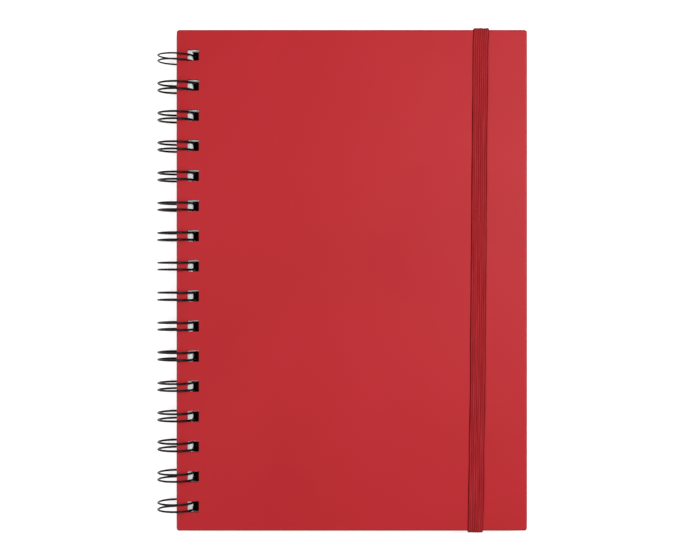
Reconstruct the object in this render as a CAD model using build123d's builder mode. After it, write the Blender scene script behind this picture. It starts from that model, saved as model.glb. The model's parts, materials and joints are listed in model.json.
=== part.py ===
"""Wire-bound hard-cover notebook: two covers, one page block, a twin-loop wire and an elastic closure band."""

import os
from math import asin, atan2, cos, degrees, hypot, radians, sin, sqrt, tan

from build123d import *

# Covers: grey board wrapped in red covering, with a black lining inside
cover_width = 148.0  # bound edge to fore edge
cover_height = 211.5
corner_radius = 1.2  # corners of a cover seen from above
outer_edge_radius = 0.9  # rim of a cover's outer face, in section
inner_edge_radius = 0.5  # rim of its inner face
board_thickness = 1.75
wrap_thickness = 0.2
turn_in_thickness = 0.15
turn_in_width = 15.0
lining_thickness = 0.15
lining_inset = 2.5  # cover's edge to lining's edge

# Pages
page_stack = 5.0
page_overhang = 3.0  # cover beyond the pages at the fore edge, head and tail
page_back_step = 0.5  # the same at the bound edge
relief_length = 10.0  # raised underside over the wire's links
relief_ramp = 20.0
relief_clearance = 0.2

# Row of square punched holes
hole_count = 16
hole_pitch = 12.7
hole_width = 5.0
hole_height = 4.75
hole_corner_radius = 0.4
hole_margin = 4.55  # bound edge to hole
hole_row_shift = -0.25  # the row sits this far from mid-height

# Twin-loop wire
wire_diameter = 0.9
ring_stand = 3.4  # the covers' outer faces to the ring's top and bottom
ring_axis_gap = 0.7  # ring axis to the covers' bound edge
lining_hole_inset = 0.25  # ring's furthest reach to the far side of the back lining's holes
strand_spacing = 3.0
root_radius = 1.2  # bend between a strand and a link
link_height = 0.65  # link's centre above the back lining
tip_lift = 1.5  # level where the hairpin tips start, above the links
wire_slip = -0.2  # loops sit this far along from the holes' centres
stub_length = 2.5  # straight cut end of the wire

# Elastic band, anchored through two slots in the back cover
band_width = 6.2
band_thickness = 0.7
band_from_bound_edge = 127.4  # band's centre line at mid-height
band_slant = 0.55  # degrees, towards the bound edge at the tail
band_bend_radius = 0.95
band_slot_bend_radius = 0.45
band_slot_margin = 12.0  # slot to the head or tail edge
band_slot_clearance = 0.15
band_edge_clearance = 0.04  # the slanted band needs this much at the covers' head and tail edges
band_tail_length = 10.0
band_tail_clearance = 0.05

# Places: the ring stands on z = 0, and the origin is under the middle of the whole notebook
block_thickness = wrap_thickness + board_thickness
cover_thickness = block_thickness + lining_thickness
ring_outer_diameter = page_stack + 2 * (cover_thickness + ring_stand)
wire_radius = wire_diameter / 2
ring_radius = (ring_outer_diameter - wire_diameter) / 2
axis_z = ring_outer_diameter / 2
axis_x = (ring_outer_diameter / 2 - ring_axis_gap - cover_width) / 2
bound_x = axis_x + ring_axis_gap
cover_x = bound_x + cover_width / 2
front_z = axis_z + page_stack / 2 + cover_thickness
back_z = axis_z - page_stack / 2 - cover_thickness
hole_rows = [hole_row_shift + (i - (hole_count - 1) / 2) * hole_pitch for i in range(hole_count)]
band_x = bound_x + band_from_bound_edge
slot_y = cover_height / 2 - band_slot_margin

# The back lining closes the far side of each hole, up to the wire
back_lining_hole_width = ring_outer_diameter / 2 - ring_axis_gap - hole_margin - lining_hole_inset


def hole_sketch(width=hole_width):
    """The row of punched holes as a sketch, each starting at the hole margin."""
    with BuildSketch(mode=Mode.PRIVATE) as holes:
        for y in hole_rows:
            with Locations((bound_x + hole_margin + width / 2, y)):
                RectangleRounded(width, hole_height, hole_corner_radius)
    return holes.sketch


def band_place(y):
    """The band's centre line at a height on the cover."""
    return band_x + y * tan(radians(band_slant))


def cut_holes(z, thickness, width=hole_width):
    """Cuts the punched holes through the part being built, from z upwards."""
    with BuildSketch(Plane.XY.offset(z)) as holes:
        add(hole_sketch(width))
    extrude(holes.sketch, amount=thickness, mode=Mode.SUBTRACT)


def cut_band_slots():
    """Cuts the two slots that the band passes through, and the shallow pockets for its glued tails."""
    slot_thickness = band_thickness + 2 * band_slot_clearance
    slot_width = band_width + 2 * band_slot_clearance
    pocket_depth = band_thickness + band_tail_clearance
    pocket_length = band_tail_length + slot_thickness
    for side in (1, -1):
        with BuildSketch(Plane.XY.offset(back_z)) as slot:
            with Locations(Location((band_place(side * slot_y), side * slot_y, 0), (0, 0, -band_slant))):
                Rectangle(slot_width, slot_thickness)
        extrude(slot.sketch, amount=block_thickness, mode=Mode.SUBTRACT)
        pocket_y = side * (slot_y + slot_thickness / 2 - pocket_length / 2)
        with BuildSketch(Plane.XY.offset(back_z + block_thickness)) as pocket:
            with Locations(Location((band_place(pocket_y), pocket_y, 0), (0, 0, -band_slant))):
                Rectangle(slot_width, pocket_length)
        extrude(pocket.sketch, amount=-pocket_depth, mode=Mode.SUBTRACT)


def rim_edges(slab, way):
    """The edges round a slab's upper face, or round its lower face where way is negative."""
    faces = slab.faces().filter_by(Axis.Z).sort_by(Axis.Z)
    return (faces[-1] if way > 0 else faces[0]).edges()


def make_board(outer_z, inward):
    """A cover's board: a slab with a shallow rebate round its inner face for the turned-in covering."""
    slab_z = outer_z + inward * wrap_thickness
    slab_thickness = board_thickness - turn_in_thickness
    with BuildPart() as board:
        with BuildSketch(Plane.XY.offset(slab_z)):
            with Locations((cover_x, 0)):
                RectangleRounded(
                    cover_width - 2 * wrap_thickness,
                    cover_height - 2 * wrap_thickness,
                    corner_radius - wrap_thickness,
                )
        extrude(amount=inward * slab_thickness)
        fillet(rim_edges(board, -inward), outer_edge_radius - wrap_thickness)
        fillet(rim_edges(board, inward), inner_edge_radius - turn_in_thickness)
        with BuildSketch(Plane.XY.offset(slab_z + inward * slab_thickness)):
            with Locations((cover_x, 0)):
                Rectangle(cover_width - 2 * turn_in_width, cover_height - 2 * turn_in_width)
        extrude(amount=inward * turn_in_thickness)
    return board.part


def make_wrap(outer_z, inward, board):
    """A cover's covering: the outer sheet, its four edges and the turned-in strips, around the board."""
    with BuildPart() as wrap:
        with BuildSketch(Plane.XY.offset(outer_z)):
            with Locations((cover_x, 0)):
                RectangleRounded(cover_width, cover_height, corner_radius)
        extrude(amount=inward * block_thickness)
        fillet(rim_edges(wrap, -inward), outer_edge_radius)
        fillet(rim_edges(wrap, inward), inner_edge_radius)
        add(board, mode=Mode.SUBTRACT)
    return wrap.part


board_blanks = {"front": make_board(front_z, -1), "back": make_board(back_z, 1)}

with BuildPart() as front_board:
    add(board_blanks["front"])
    cut_holes(front_z - block_thickness, block_thickness)

with BuildPart() as front_wrap:
    add(make_wrap(front_z, -1, board_blanks["front"]))
    cut_holes(front_z - block_thickness, block_thickness)

with BuildPart() as front_lining:
    with BuildSketch(Plane.XY.offset(front_z - cover_thickness)):
        with Locations((cover_x, 0)):
            Rectangle(cover_width - 2 * lining_inset, cover_height - 2 * lining_inset)
        add(hole_sketch(), mode=Mode.SUBTRACT)
    extrude(amount=lining_thickness)

with BuildPart() as back_board:
    add(board_blanks["back"])
    cut_holes(back_z, block_thickness)
    cut_band_slots()

with BuildPart() as back_wrap:
    add(make_wrap(back_z, 1, board_blanks["back"]))
    cut_holes(back_z, block_thickness)
    cut_band_slots()

with BuildPart() as back_lining:
    with BuildSketch(Plane.XY.offset(back_z + block_thickness)):
        with Locations((cover_x, 0)):
            Rectangle(cover_width - 2 * lining_inset, cover_height - 2 * lining_inset)
        add(hole_sketch(back_lining_hole_width), mode=Mode.SUBTRACT)
    extrude(amount=lining_thickness)

# The wire's links lie on the back lining; the pages bridge them on a raised underside
link_z = back_z + cover_thickness + link_height
page_bottom = axis_z - page_stack / 2
page_left = bound_x + page_back_step
page_right = bound_x + cover_width - page_overhang
relief_z = link_z + wire_radius + relief_clearance

with BuildPart() as page_block:
    with BuildSketch(Plane.XZ):
        with BuildLine():
            Polyline(
                (page_left, relief_z),
                (page_left + relief_length, relief_z),
                (page_left + relief_length + relief_ramp, page_bottom),
                (page_right, page_bottom),
                (page_right, page_bottom + page_stack),
                (page_left, page_bottom + page_stack),
                close=True,
            )
        make_face()
    extrude(amount=cover_height / 2 - page_overhang, both=True)
    cut_holes(page_bottom, page_stack)


def ring_point(angle, y):
    """A point on the rings' centre line; the angle runs from the fore edge's side up over the top."""
    return Vector(axis_x + ring_radius * cos(angle), y, axis_z + ring_radius * sin(angle))


def ring_direction(angle):
    """The way a strand runs from its root: down, round the back of the spine and over the top."""
    return Vector(sin(angle), 0, -cos(angle))


# A root bend leaves the ring along its tangent, so the links lie just outside the ring's centre line
link_radius = hypot(ring_radius, root_radius)
root_angle = asin((link_z - axis_z) / link_radius) - atan2(root_radius, ring_radius)
tip_angle = asin((link_z + tip_lift - axis_z) / ring_radius)
far_angle = (root_angle + tip_angle) / 2 - radians(180)
root_way = ring_direction(root_angle)
tip_way = ring_direction(tip_angle)
along = Vector(0, 1, 0)
diagonal = root_radius / sqrt(2)

with BuildPart() as binding_wire:
    with BuildLine() as wire_path:
        last = ring_point(root_angle, hole_rows[0] + wire_slip - strand_spacing / 2)
        last = last - along * (root_radius + stub_length) - root_way * root_radius
        wire_start = last
        for y in hole_rows:
            low = y + wire_slip - strand_spacing / 2
            high = low + strand_spacing
            root_low = ring_point(root_angle, low)
            root_high = ring_point(root_angle, high)
            link_in = root_low - along * root_radius - root_way * root_radius
            link_out = root_high + along * root_radius - root_way * root_radius
            bend_in = root_low - along * (root_radius - diagonal) - root_way * diagonal
            bend_out = root_high + along * (root_radius - diagonal) - root_way * diagonal
            tip_low = ring_point(tip_angle, low)
            tip_high = ring_point(tip_angle, high)
            tip_end = (tip_low + tip_high) / 2 + tip_way * strand_spacing / 2
            Line(last, link_in)
            ThreePointArc(link_in, bend_in, root_low)
            ThreePointArc(root_low, ring_point(far_angle, low), tip_low)
            ThreePointArc(tip_low, tip_end, tip_high)
            ThreePointArc(tip_high, ring_point(far_angle, high), root_high)
            ThreePointArc(root_high, bend_out, link_out)
            last = link_out
        Line(last, last + along * stub_length)
    with BuildSketch(Plane(origin=wire_start, z_dir=along)):
        Circle(wire_radius)
    sweep()

# The band: glued tail, out through a slot, round the head, down over the front cover and back the same way
band_face = band_thickness / 2
band_end_y = cover_height / 2 + band_edge_clearance + band_face
tail_z = back_z + block_thickness - band_tail_clearance - band_face
band_route = [
    (slot_y - band_tail_length, tail_z),
    (slot_y, tail_z),
    (slot_y, back_z - band_face),
    (band_end_y, back_z - band_face),
    (band_end_y, front_z + band_face),
]
band_route += [(-y, z) for y, z in reversed(band_route)]
band_bends = [band_slot_bend_radius] * 2 + [band_bend_radius] * 4 + [band_slot_bend_radius] * 2

with BuildPart() as elastic_band:
    with BuildLine() as band_path:
        FilletPolyline(*[(band_place(y), y, z) for y, z in band_route], radius=band_bends)
    with BuildSketch(Plane(origin=band_path.wire() @ 0, x_dir=(0, 0, 1), z_dir=band_path.wire() % 0)):
        Rectangle(band_thickness, band_width)
    sweep()

pieces = {
    "front_board": front_board,
    "front_wrap": front_wrap,
    "front_lining": front_lining,
    "back_board": back_board,
    "back_wrap": back_wrap,
    "back_lining": back_lining,
    "page_block": page_block,
    "binding_wire": binding_wire,
    "elastic_band": elastic_band,
}

os.makedirs("parts", exist_ok=True)
for name, piece in pieces.items():
    piece.part.label = name
    export_step(piece.part, f"parts/{name}.step")

wire_length = wire_path.wire().length
print("wire: length", round(wire_length, 1), "volume ratio",
      round(binding_wire.part.volume / (wire_length * 3.14159265 * wire_radius**2), 5))
print("band: length", round(band_path.wire().length, 1), "volume ratio",
      round(elastic_band.part.volume / (band_path.wire().length * band_width * band_thickness), 5))
print("root, tip and far angles", [round(degrees(a), 2) for a in (root_angle, tip_angle, far_angle)])
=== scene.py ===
import json
import math
import random

import bmesh
import bpy
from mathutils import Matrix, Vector, noise


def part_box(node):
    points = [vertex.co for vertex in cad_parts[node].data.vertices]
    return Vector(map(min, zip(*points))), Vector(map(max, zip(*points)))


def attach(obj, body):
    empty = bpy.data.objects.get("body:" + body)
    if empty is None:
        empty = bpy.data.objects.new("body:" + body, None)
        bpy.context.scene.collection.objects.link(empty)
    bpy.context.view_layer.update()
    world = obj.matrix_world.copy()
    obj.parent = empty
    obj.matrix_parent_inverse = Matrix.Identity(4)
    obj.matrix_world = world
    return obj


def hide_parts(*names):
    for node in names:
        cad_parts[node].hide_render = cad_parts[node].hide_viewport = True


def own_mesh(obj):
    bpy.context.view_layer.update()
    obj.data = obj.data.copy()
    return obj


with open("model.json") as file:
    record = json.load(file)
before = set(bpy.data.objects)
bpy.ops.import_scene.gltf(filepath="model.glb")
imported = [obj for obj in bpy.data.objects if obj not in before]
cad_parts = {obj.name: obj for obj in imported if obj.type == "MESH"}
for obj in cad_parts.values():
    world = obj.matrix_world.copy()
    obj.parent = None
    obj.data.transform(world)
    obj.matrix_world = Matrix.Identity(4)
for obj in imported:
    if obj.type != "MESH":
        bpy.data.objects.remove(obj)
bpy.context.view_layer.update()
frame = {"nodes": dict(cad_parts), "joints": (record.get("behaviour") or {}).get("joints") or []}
scene = bpy.context.scene
nodes = frame["nodes"]
mm = 0.001

# Places that everything else is measured from, read from the frame
coverLow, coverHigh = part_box("front_wrap")
backLow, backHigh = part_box("back_wrap")
wireLow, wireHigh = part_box("binding_wire")
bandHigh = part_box("elastic_band")[1]
pageLow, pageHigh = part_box("page_block")
hinge = next(joint for joint in frame["joints"] if joint["name"] == "page_hinge")
axisX, _, axisZ = hinge["pos_m"]
boundX = coverLow.x  # the covers' bound edge
frontZ = coverHigh.z  # outer face of the front cover
backZ = backLow.z  # outer face of the back cover
holeRow = {
    "count": 16, "pitch": 12.7 * mm, "shift": -0.25 * mm, "margin": 4.55 * mm,
    "width": 5.0 * mm, "height": 4.75 * mm,
}
firstHole = holeRow["shift"] - (holeRow["count"] - 1) / 2 * holeRow["pitch"]
holeCentres = [firstHole + k * holeRow["pitch"] for k in range(holeRow["count"])]
print("frame loaded:", len(nodes), "nodes")


def newObject(name, bm):
    mesh = bpy.data.meshes.new(name)
    bm.to_mesh(mesh)
    bm.free()
    obj = bpy.data.objects.new(name, mesh)
    scene.collection.objects.link(obj)
    return obj


def smoothShade(obj, angle=35):
    for face in obj.data.polygons:
        face.use_smooth = True
    obj.data.set_sharp_from_angle(angle=math.radians(angle))


def addThickness(obj, thickness, offset):
    shell = obj.modifiers.new("thickness", "SOLIDIFY")
    shell.thickness = thickness
    shell.offset = offset
    return shell


def easeInOut(value):
    value = min(max(value, 0), 1)
    return value * value * (3 - 2 * value)


# Small helpers for building the materials

def newMaterial(name):
    mat = bpy.data.materials.new(name)
    mat.use_nodes = True
    tree = mat.node_tree
    tree.nodes.clear()
    out = tree.nodes.new("ShaderNodeOutputMaterial")
    shader = tree.nodes.new("ShaderNodeBsdfPrincipled")
    tree.links.new(shader.outputs["BSDF"], out.inputs["Surface"])
    return mat, tree, shader


def addNode(tree, kind, **values):
    node = tree.nodes.new("ShaderNode" + kind)
    for key, value in values.items():
        setattr(node, key, value)
    return node


def scaled(tree, source, scale=(1, 1, 1)):
    mapping = addNode(tree, "Mapping")
    mapping.inputs["Scale"].default_value = scale
    tree.links.new(source, mapping.inputs["Vector"])
    return mapping.outputs["Vector"]


def objectPoint(tree, scale=(1, 1, 1)):
    return scaled(tree, addNode(tree, "TexCoord").outputs["Object"], scale)


def grain(tree, point, scale, detail=4.0, roughness=0.55):
    node = addNode(tree, "TexNoise")
    node.inputs["Scale"].default_value = scale
    node.inputs["Detail"].default_value = detail
    node.inputs["Roughness"].default_value = roughness
    tree.links.new(point, node.inputs["Vector"])
    return node.outputs["Fac"]


def spread(tree, value, low, high, fromLow=0.3, fromHigh=0.7):
    node = addNode(tree, "MapRange")
    for key, number in {"From Min": fromLow, "From Max": fromHigh, "To Min": low, "To Max": high}.items():
        node.inputs[key].default_value = number
    tree.links.new(value, node.inputs["Value"])
    return node.outputs["Result"]


def calculate(tree, operation, first, second):
    node = addNode(tree, "Math", operation=operation)
    for socket, value in zip(node.inputs, (first, second)):
        if isinstance(value, (int, float)):
            socket.default_value = value
        else:
            tree.links.new(value, socket)
    return node.outputs[0]


def blendColours(tree, value, first, second):
    node = addNode(tree, "Mix", data_type="RGBA")
    for socket, colour in zip(node.inputs[6:8], (first, second)):
        if isinstance(colour, tuple):
            socket.default_value = (*colour, 1)
        else:
            tree.links.new(colour, socket)
    tree.links.new(value, node.inputs[0])
    return node.outputs[2]


def bump(tree, height, strength, distance, base=None):
    node = addNode(tree, "Bump")
    node.inputs["Strength"].default_value = strength
    node.inputs["Distance"].default_value = distance
    tree.links.new(height, node.inputs["Height"])
    if base is not None:
        tree.links.new(base, node.inputs["Normal"])
    return node.outputs["Normal"]


# Covers: smooth red covering over board, black lining inside

# The rim colour is a painted highlight along the cover's rounded rim
wrapLook = {
    "colour": (0.470, 0.018, 0.025), "deep": (0.435, 0.015, 0.020), "rim": (0.48, 0.035, 0.052),
    "rimWidth": 1.1 * mm, "roughness": (0.44, 0.54), "rimRoughness": 0.36, "specular": 0.16,
}


def coverWrapMaterial():
    mat, tree, shader = newMaterial("coverWrap")
    point = objectPoint(tree)
    clouds = grain(tree, point, 14, 3)
    leather = grain(tree, point, 1500, 3, 0.6)
    pores = grain(tree, point, 4200, 2, 0.5)
    body = blendColours(tree, spread(tree, clouds, 0, 1), wrapLook["deep"], wrapLook["colour"])
    # Painted highlight: the covering is made a little paler along the cover's rim, and shinier there too
    separate = addNode(tree, "SeparateXYZ")
    tree.links.new(point, separate.inputs["Vector"])
    middle = (coverLow + coverHigh) / 2
    half = (coverHigh - coverLow) / 2
    reach = []
    for axis in range(2):
        fromMiddle = calculate(tree, "SUBTRACT", separate.outputs[axis], middle[axis])
        side = calculate(tree, "ABSOLUTE", fromMiddle, 0)
        reach.append(spread(tree, side, 0, 1, half[axis] - wrapLook["rimWidth"], half[axis]))
    nearRim = calculate(tree, "MAXIMUM", reach[0], reach[1])
    rim = calculate(tree, "MULTIPLY", nearRim, spread(tree, leather, 0.6, 1))
    tree.links.new(blendColours(tree, rim, body, wrapLook["rim"]), shader.inputs["Base Color"])
    matt = spread(tree, leather, *wrapLook["roughness"])
    roughAwayFromRim = calculate(tree, "SUBTRACT", matt, calculate(tree, "MULTIPLY", rim, matt))
    glossAtRim = calculate(tree, "MULTIPLY", rim, wrapLook["rimRoughness"])
    tree.links.new(calculate(tree, "ADD", roughAwayFromRim, glossAtRim), shader.inputs["Roughness"])
    fine = bump(tree, pores, 0.10, 0.06 * mm)
    tree.links.new(bump(tree, leather, 0.16, 0.12 * mm, fine), shader.inputs["Normal"])
    shader.inputs["Specular IOR Level"].default_value = wrapLook["specular"]
    return mat


def coverLiningMaterial():
    mat, tree, shader = newMaterial("coverLining")
    fibres = grain(tree, objectPoint(tree), 900, 5, 0.65)
    black = blendColours(tree, spread(tree, fibres, 0, 1), (0.006, 0.006, 0.007), (0.013, 0.012, 0.013))
    tree.links.new(black, shader.inputs["Base Color"])
    tree.links.new(spread(tree, fibres, 0.75, 0.88), shader.inputs["Roughness"])
    tree.links.new(bump(tree, fibres, 0.25, 0.06 * mm), shader.inputs["Normal"])
    shader.inputs["Specular IOR Level"].default_value = 0.3
    return mat


def coverBoardMaterial():
    mat, tree, shader = newMaterial("coverBoard")
    layers = grain(tree, objectPoint(tree, (1, 1, 6)), 1100, 5, 0.7)
    grey = blendColours(tree, spread(tree, layers, 0, 1), (0.014, 0.013, 0.013), (0.040, 0.038, 0.036))
    tree.links.new(grey, shader.inputs["Base Color"])
    shader.inputs["Roughness"].default_value = 0.9
    tree.links.new(bump(tree, layers, 0.5, 0.1 * mm), shader.inputs["Normal"])
    return mat


def dressNodes(looks):
    for name, look in looks.items():
        nodes[name].data.materials.clear()
        nodes[name].data.materials.append(look)


wrapMaterial = coverWrapMaterial()
liningMaterial = coverLiningMaterial()
boardMaterial = coverBoardMaterial()
dressNodes({
    "front_wrap": wrapMaterial, "back_wrap": wrapMaterial, "front_lining": liningMaterial,
    "back_lining": liningMaterial, "front_board": boardMaterial, "back_board": boardMaterial,
})
print("covers finished")


# Pages: fifty punched sheets that hang on the wire by the near side of their holes

sheetSet = {
    "count": 50, "thickness": 0.07 * mm, "edgeRoom": 0.05 * mm, "wireGap": 0.08 * mm, "slip": -0.35 * mm,
    "looseness": (0.12 * mm, 0.05 * mm), "liftedWidth": 10 * mm, "rampWidth": 20 * mm, "rampSteps": 6,
    "lift": 1.3 * mm, "wireDiameter": 0.9 * mm,
}


def sheetHeight(x, share):
    start = pageLow.x + sheetSet["liftedWidth"]
    lift = sheetSet["lift"] * (1 - easeInOut((x - start) / sheetSet["rampWidth"]))
    low = pageLow.z + sheetSet["edgeRoom"] + lift
    high = pageHigh.z - sheetSet["edgeRoom"] - sheetSet["thickness"]
    return low + (high - low) * share


def sheetColumns(share, rng):
    nearEdge = boundX + holeRow["margin"]
    height = sheetHeight(nearEdge, share) - axisZ
    ringInside = (wireHigh.z - wireLow.z) / 2 - sheetSet["wireDiameter"]
    wall = axisX + math.sqrt(ringInside ** 2 - height ** 2) - sheetSet["wireGap"]
    shift = wall - nearEdge - rng.uniform(0, sheetSet["looseness"][0])
    rampStart = pageLow.x + sheetSet["liftedWidth"]
    rampSteps = sheetSet["rampSteps"]
    ramp = [rampStart + sheetSet["rampWidth"] * k / rampSteps for k in range(rampSteps + 1)]
    near = nearEdge + shift
    return [pageLow.x + shift, near, near + holeRow["width"], *ramp[1:], pageHigh.x + shift]  # x of each


def sheetRows(rng):
    slip = sheetSet["slip"] + rng.uniform(-1, 1) * sheetSet["looseness"][1]
    rows = [pageLow.y + slip]
    for y in holeCentres:
        rows += [y - holeRow["height"] / 2 + slip, y + holeRow["height"] / 2 + slip]
    return rows + [pageHigh.y + slip]


def addSheet(bm, share, rng):
    columns = sheetColumns(share, rng)
    rows = sheetRows(rng)
    grid = bmesh.ops.create_grid(bm, x_segments=len(columns) - 1, y_segments=len(rows) - 1, size=1)
    places = {}
    for vert in grid["verts"]:
        column = round((vert.co.x + 1) / 2 * (len(columns) - 1))
        row = round((vert.co.y + 1) / 2 * (len(rows) - 1))
        places[vert] = (column, row)
        vert.co = (columns[column], rows[row], sheetHeight(columns[column], share))
    # A hole is the cell after the first column, in every second row
    faces = {face for vert in grid["verts"] for face in vert.link_faces}
    holes = []
    for face in faces:
        column = min(places[vert][0] for vert in face.verts)
        row = min(places[vert][1] for vert in face.verts)
        if column == 1 and row % 2 == 1:
            holes.append(face)
    holes.sort(key=lambda face: face.calc_center_median().y)
    bmesh.ops.delete(bm, geom=holes, context="FACES_ONLY")


def makePages():
    rng = random.Random(11)
    bm = bmesh.new()
    for k in range(sheetSet["count"]):
        addSheet(bm, k / (sheetSet["count"] - 1), rng)
    pages = newObject("page_sheets", bm)
    addThickness(pages, sheetSet["thickness"], 1)
    return pages


def paperMaterial():
    mat, tree, shader = newMaterial("paper")
    fibres = grain(tree, objectPoint(tree), 1300, 5, 0.6)
    white = blendColours(tree, spread(tree, fibres, 0, 1), (0.90, 0.93, 0.94), (0.95, 0.96, 0.96))
    tree.links.new(white, shader.inputs["Base Color"])
    tree.links.new(spread(tree, fibres, 0.78, 0.9), shader.inputs["Roughness"])
    tree.links.new(bump(tree, fibres, 0.15, 0.04 * mm), shader.inputs["Normal"])
    return mat


pages = makePages()
pages.data.materials.append(paperMaterial())
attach(pages, "pages")
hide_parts("page_block")
print("pages made:", sheetSet["count"], "sheets")


# Wire: black enamel, each double loop pinched and pushed along a little differently

loopSet = {
    "shift": 0.14 * mm, "pinch": 0.04, "lean": 0.009, "headLoop": (-0.64 * mm, -0.2, 0.02),
    "reach": 2.2 * mm, "weld": 0.001 * mm,
}


def loopChanges():
    rng = random.Random(4)
    sizes = (loopSet["shift"], loopSet["pinch"], loopSet["lean"])
    changes = [[rng.uniform(-1, 1) * size for size in sizes] for _ in holeCentres]
    changes[-1] = loopSet["headLoop"]  # the loop at the head hangs lower and tighter than the rest
    return changes


def makeWire():
    changes = loopChanges()
    bm = bmesh.new()
    bm.from_mesh(nodes["binding_wire"].data)
    bmesh.ops.remove_doubles(bm, verts=bm.verts, dist=loopSet["weld"])
    for vert in bm.verts:
        nearest = round((vert.co.y - holeCentres[0]) / holeRow["pitch"])
        nearest = min(max(nearest, 0), len(holeCentres) - 1)
        shift, pinch, lean = changes[nearest]
        across = vert.co.y - holeCentres[nearest]
        held = 1 - easeInOut((abs(across) - loopSet["reach"]) / (holeRow["pitch"] / 2 - loopSet["reach"]))
        vert.co.y += held * (shift + pinch * across + lean * (axisX - vert.co.x))
    return newObject("wire_loops", bm)


def wireEnamelMaterial():
    mat, tree, shader = newMaterial("wireEnamel")
    flow = grain(tree, objectPoint(tree), 400, 3)
    black = blendColours(tree, spread(tree, flow, 0, 1), (0.004, 0.003, 0.004), (0.009, 0.007, 0.008))
    tree.links.new(black, shader.inputs["Base Color"])
    tree.links.new(spread(tree, flow, 0.28, 0.4), shader.inputs["Roughness"])
    tree.links.new(bump(tree, flow, 0.12, 0.05 * mm), shader.inputs["Normal"])
    shader.inputs["Specular IOR Level"].default_value = 0.16
    return mat


wire = makeWire()
smoothShade(wire, 60)
wire.data.materials.append(wireEnamelMaterial())
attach(wire, "back")
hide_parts("binding_wire")
print("wire made:", len(holeCentres), "double loops")


# Elastic band: a woven strap with rubber cords in it, stretched round both covers

strapSet = {
    "width": 6.15 * mm, "thickness": 0.58 * mm, "fromBoundEdge": 127.4 * mm, "slant": math.radians(0.55),
    "slotInset": 12 * mm, "tail": 10 * mm, "tailRoom": 0.05 * mm,
    "bend": 0.95 * mm, "slotBend": 0.45 * mm, "bendSteps": 6, "step": 1.1 * mm,
    "cords": 7, "cordSteps": 8, "cordHeight": 0.17 * mm, "cordRun": 13 * mm,
    "wander": 0.12 * mm, "wanderRun": 22 * mm, "edge": 0.5 * mm, "edgeDrop": 0.14 * mm,
    "darkRed": (0.29, 0.008, 0.012), "brightRed": (0.43, 0.030, 0.036),
    # The groove red is painted shade between the cords; the edge red is painted shade along both edges of
    # the strap
    "grooveShadeRed": (0.13, 0.0, 0.001), "edgeShadeRed": (0.09, 0.0, 0.001),
}
# How far the stretched strap strays sideways on the front cover: (place from tail to head, drift), in mm
strapDrift = [
    (-106, -0.3), (-93, -0.12), (-72, -0.1), (-45, 0.1),
    (-8, 0.0), (55, -0.08), (98, -0.1), (106, 0.2),
]


def strapCentre(y, onFront):
    drift = 0
    for (low, start), (high, end) in zip(strapDrift, strapDrift[1:]):
        if low * mm <= y < high * mm:
            drift = start + (end - start) * easeInOut((y / mm - low) / (high - low))
    if abs(y) >= strapDrift[-1][0] * mm:
        drift = strapDrift[-1 if y > 0 else 0][1]
    return boundX + strapSet["fromBoundEdge"] + y * math.tan(strapSet["slant"]) + onFront * drift * mm


def strapLegs():
    bandFace = (bandHigh.z - frontZ) / 2
    slotY = coverHigh.y - strapSet["slotInset"]
    endY = bandHigh.y - bandFace
    tailZ = backHigh.z - strapSet["tailRoom"] - bandFace
    lowZ = backZ - bandFace
    highZ = frontZ + bandFace
    bend, slotBend = strapSet["bend"], strapSet["slotBend"]
    back = (endY - slotY - slotBend - bend, bend, 1)
    rise = (highZ - lowZ - 2 * bend, bend, 1)
    throughSlot = tailZ - lowZ - 2 * slotBend
    glued = strapSet["tail"] - slotBend
    legs = [
        (glued, slotBend, -1), (throughSlot, slotBend, 1), back, rise, (2 * (endY - bend), bend, 1), rise,
        (back[0], slotBend, 1), (throughSlot, slotBend, -1), (glued, 0, 0),
    ]
    return (slotY - strapSet["tail"], tailZ), legs


def strapStations():
    (y, z), legs = strapLegs()
    heading = along = 0
    stations = [(y, z, heading, along)]
    for length, radius, side in legs:
        steps = max(1, round(length / strapSet["step"]))
        moves = [(length / steps, 0)] * steps
        if radius:
            turn = side * math.pi / 2 / strapSet["bendSteps"]
            moves += [(2 * radius * math.sin(abs(turn) / 2), turn)] * strapSet["bendSteps"]
        for distance, turn in moves:
            heading += turn / 2
            y += distance * math.cos(heading)
            z += distance * math.sin(heading)
            heading += turn / 2
            along += distance
            stations.append((y, z, heading, along))
    return stations


def cordShape(across, along):
    half = strapSet["width"] / 2
    place = (across / strapSet["width"] + 0.5) * strapSet["cords"]
    cord = min(int(place), strapSet["cords"] - 1)
    roundness = 1 - (2 * (place - cord) - 1) ** 2
    strength = 0.6 + noise.noise((cord * 3.7, along / strapSet["cordRun"], 0))
    height = strapSet["cordHeight"] * (roundness * strength - 0.5)
    height -= strapSet["edgeDrop"] * easeInOut((abs(across) - half + strapSet["edge"]) / strapSet["edge"])
    sideways = strapSet["wander"] * noise.noise((cord / 2.3, along / strapSet["wanderRun"], 7))
    return sideways, height


def makeStrap():
    stations = strapStations()
    cells = strapSet["cords"] * strapSet["cordSteps"]
    bm = bmesh.new()
    bmesh.ops.create_grid(bm, x_segments=cells, y_segments=len(stations) - 1, size=1)
    places = {}
    for vert in bm.verts:
        across = vert.co.x * strapSet["width"] / 2
        y, z, heading, along = stations[round((vert.co.y + 1) / 2 * (len(stations) - 1))]
        sideways, height = cordShape(across, along)
        outward = Vector((0, math.sin(heading), -math.cos(heading)))
        onFront = easeInOut((z - backZ) / (frontZ - backZ))
        places[vert] = (across, along)
        vert.co = Vector((strapCentre(y, onFront) + across + sideways, y, z)) + outward * height
    woven = bm.loops.layers.uv.new("strap")
    for face in bm.faces:
        for loop in face.loops:
            loop[woven].uv = places[loop.vert]
    bm.normal_update()
    if max(bm.faces, key=lambda face: face.calc_center_median().z).normal.z < 0:
        bmesh.ops.reverse_faces(bm, faces=bm.faces)
    strap = newObject("elastic_strap", bm)
    smoothShade(strap, 60)
    addThickness(strap, strapSet["thickness"], 0)
    return strap


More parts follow.
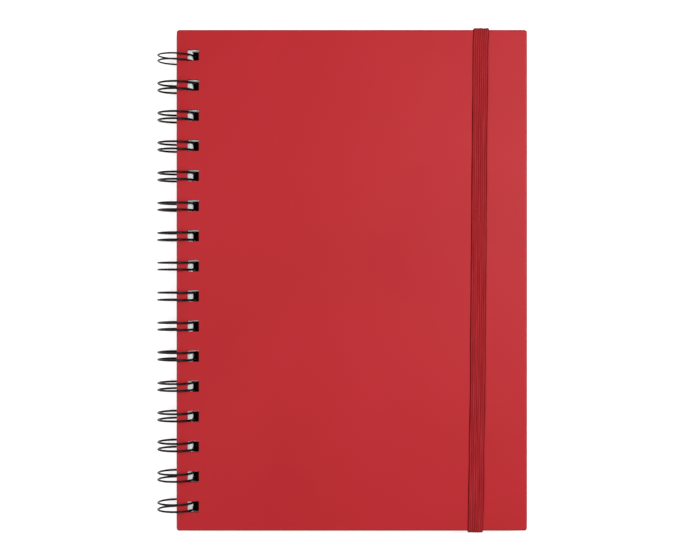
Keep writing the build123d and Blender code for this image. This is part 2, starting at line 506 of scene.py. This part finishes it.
def elasticMaterial():
    mat, tree, shader = newMaterial("elastic")
    woven = addNode(tree, "UVMap", uv_map="strap").outputs["UV"]
    waves = {}
    for name, direction, scale, distortion in (("picks", "Y", 620, 1.2), ("ribs", "X", 860, 0.5)):
        wave = addNode(tree, "TexWave", bands_direction=direction)
        wave.inputs["Scale"].default_value = scale
        wave.inputs["Distortion"].default_value = distortion
        tree.links.new(woven, wave.inputs["Vector"])
        waves[name] = wave.outputs["Fac"]
    broad = grain(tree, scaled(tree, woven, (900, 42, 1)), 1, 2)
    thin = grain(tree, scaled(tree, woven, (1500, 60, 1)), 1, 3)
    streaks = calculate(tree, "ADD", spread(tree, broad, 0, 0.5), spread(tree, thin, 0, 0.5))
    red = blendColours(tree, streaks, strapSet["darkRed"], strapSet["brightRed"])
    # Painted shade: the grooves between the rubber cords are darkened, and each one fades and comes back
    # along the strap
    separate = addNode(tree, "SeparateXYZ")
    tree.links.new(woven, separate.inputs["Vector"])
    place = calculate(tree, "MULTIPLY", separate.outputs["X"], strapSet["cords"] / strapSet["width"])
    fromGroove = calculate(tree, "PINGPONG", calculate(tree, "ADD", place, strapSet["cords"] / 2), 0.5)
    fading = grain(tree, scaled(tree, woven, (1100, 26, 1)), 1, 2)
    depth = spread(tree, fading, 1, 0.35, 0.45, 0.65)
    grooveShade = calculate(tree, "MULTIPLY", spread(tree, fromGroove, 1, 0, 0.06, 0.3), depth)
    grooveShaded = blendColours(tree, grooveShade, red, strapSet["grooveShadeRed"])
    # Painted shade: both edges of the strap are darkened
    side = calculate(tree, "ABSOLUTE", separate.outputs["X"], 0)
    edgeShade = spread(tree, side, 0, 0.8, strapSet["width"] / 2 - strapSet["edge"], strapSet["width"] / 2)
    edgeShaded = blendColours(tree, edgeShade, grooveShaded, strapSet["edgeShadeRed"])
    tree.links.new(edgeShaded, shader.inputs["Base Color"])
    tree.links.new(spread(tree, waves["picks"], 0.66, 0.84, 0, 1), shader.inputs["Roughness"])
    fine = bump(tree, waves["picks"], 0.25, 0.08 * mm)
    tree.links.new(bump(tree, waves["ribs"], 0.3, 0.1 * mm, fine), shader.inputs["Normal"])
    shader.inputs["Specular IOR Level"].default_value = 0.08
    return mat


strap = makeStrap()
strap.data.materials.append(elasticMaterial())
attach(strap, "back")
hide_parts("elastic_band")
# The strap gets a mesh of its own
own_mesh(strap)
print("strap made")


# Camera, floor and lights

cameraSet = {
    "fromBoundEdge": 73.24 * mm, "alongCover": 0.13 * mm, "height": 546 * mm,
    "lens": 66.6, "sensor": 36,
}
cameraData = bpy.data.cameras.new("camera")
cameraData.lens = cameraSet["lens"]
cameraData.sensor_width = cameraSet["sensor"]
camera = bpy.data.objects.new("camera", cameraData)
scene.collection.objects.link(camera)
camera.location.x = boundX + cameraSet["fromBoundEdge"]
camera.location.y = cameraSet["alongCover"]
camera.location.z = frontZ + cameraSet["height"]
scene.camera = camera

floorSet = {"halfWidth": 1.5, "colour": (0.8, 0.8, 0.8, 1), "glow": 0.64}
# Each lamp's place, size and power; all of them face the middle of the notebook
lampSet = {
    "keyRight": ((0.3, 0.1, 0.62), (0.2, 0.2), 3.15),
    "fillLeft": ((-0.42, -0.04, 0.53), (0.5, 0.5), 1.8),
    "headLight": ((0.0, 1.1, 0.9), (0.9, 0.7), 0.5),
    "footLight": ((0.0, -1.1, 0.9), (0.9, 0.7), 0.6),
}
skyStrength = 0.22


def makeFloor():
    bm = bmesh.new()
    bmesh.ops.create_grid(bm, x_segments=1, y_segments=1, size=floorSet["halfWidth"])
    floor = newObject("floor", bm)
    mat, tree, shader = newMaterial("floorWhite")
    shader.inputs["Base Color"].default_value = floorSet["colour"]
    shader.inputs["Roughness"].default_value = 0.9
    light = addNode(tree, "LightPath")
    seen = calculate(tree, "MAXIMUM", light.outputs["Is Camera Ray"], light.outputs["Is Glossy Ray"])
    shader.inputs["Emission Color"].default_value = (1, 1, 1, 1)
    tree.links.new(calculate(tree, "MULTIPLY", seen, floorSet["glow"]), shader.inputs["Emission Strength"])
    floor.data.materials.append(mat)


def areaLight(name, place, size, power):
    data = bpy.data.lights.new(name, "AREA")
    data.shape = "RECTANGLE"
    data.size, data.size_y = size
    data.energy = power
    lamp = bpy.data.objects.new(name, data)
    scene.collection.objects.link(lamp)
    lamp.location = place
    lamp.rotation_euler = (-Vector(place)).to_track_quat("-Z", "Y").to_euler()


makeFloor()
for name, (place, size, power) in lampSet.items():
    areaLight(name, place, size, power)

world = bpy.data.worlds.new("world")
scene.world = world
world.use_nodes = True
background = world.node_tree.nodes["Background"]
background.inputs["Color"].default_value = (1, 1, 1, 1)
background.inputs["Strength"].default_value = skyStrength
scene.view_settings.view_transform = "Standard"
print("camera, floor and lights set")
